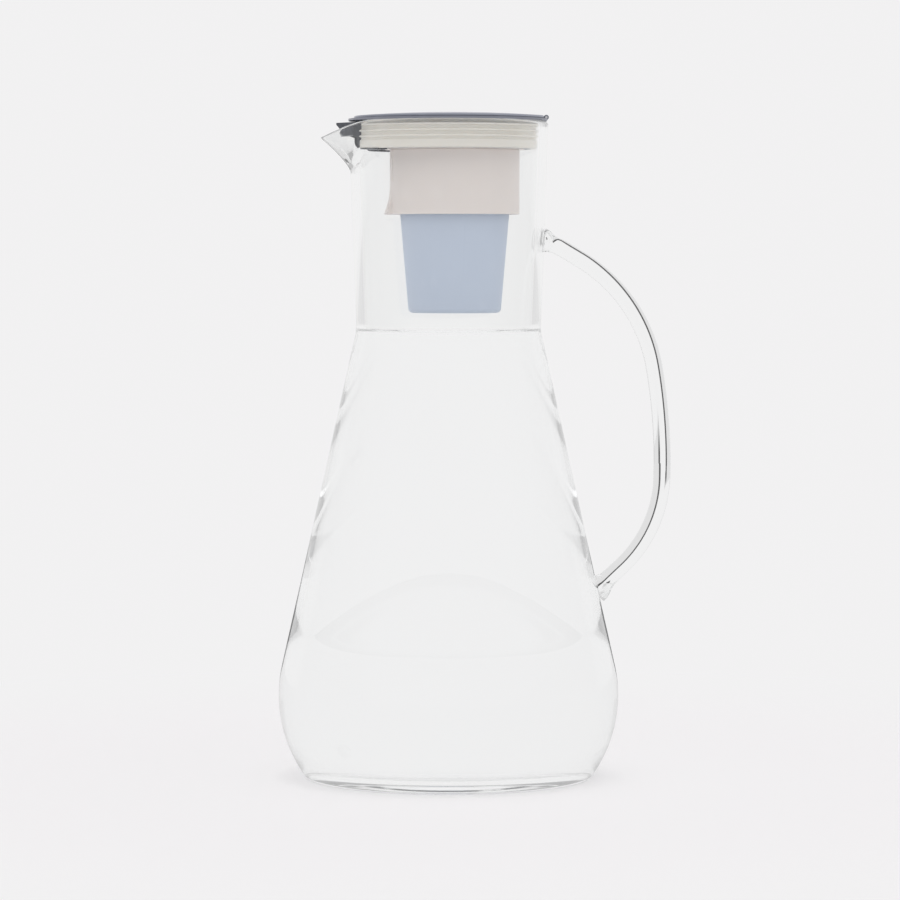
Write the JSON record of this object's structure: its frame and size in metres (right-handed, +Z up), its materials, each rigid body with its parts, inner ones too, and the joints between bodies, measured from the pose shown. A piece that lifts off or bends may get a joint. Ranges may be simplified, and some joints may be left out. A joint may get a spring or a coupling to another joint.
{
  "type": "water filter carafe",
  "caption": "Bell-shaped glass water carafe with a pulled spout and rod handle, a ribbed stopper lid with a hinged flip-up fill disc, and a hanging filter cartridge.",
  "frame": {"origin": "centre of the round base, on the surface the carafe stands on", "axes": "+Z up along the neck, -X towards the spout, +X towards the handle"},
  "size_m": [0.1511, 0.1312, 0.2558],
  "materials": {
    "glass": "clear, fire-polished",
    "slate_plastic": "satin moulded",
    "cream_silicone": "soft matte",
    "cream_plastic": "satin moulded",
    "blue_plastic": "satin moulded",
    "pin_steel": "bright drawn",
    "dark_rubber": "soft matte",
    "felt": "needled felt",
    "carbon": "granular",
    "resin": "fine beads"
  },
  "bodies": {
    "carafe": {"glass_vessel": "glass", "glass_handle": "glass"},
    "lid_assembly": {"lid_collar": "slate_plastic", "spout_insert": "slate_plastic", "seal_ring": "cream_silicone", "fill_well": "cream_plastic", "well_seal": "cream_silicone", "hinge_pin": "pin_steel", "filter_holder": "cream_plastic"},
    "flip_disc": {"flip_lid": "slate_plastic", "flip_lid_gasket": "cream_silicone"},
    "cartridge": {"cartridge_shell": "blue_plastic", "cartridge_cap": "blue_plastic", "cartridge_o_ring": "dark_rubber", "upper_screen": "felt", "carbon_bed": "carbon", "divider_felt": "felt", "resin_bed": "resin", "lower_screen": "felt"}
  },
  "joints": [
    {"name": "lid_lift", "type": "slide", "parent": "carafe", "child": "lid_assembly", "axis": [0, 0, 1], "range_m": [0, 0.1]},
    {"name": "flip_hinge", "type": "hinge", "parent": "lid_assembly", "child": "flip_disc", "pos_m": [0.03745, 0, 0.25385], "axis": [0, 1, 0], "range_deg": [0, 105]},
    {"name": "cartridge_pull", "type": "slide", "parent": "lid_assembly", "child": "cartridge", "axis": [0, 0, -1], "range_m": [0, 0.03]}
  ]
}
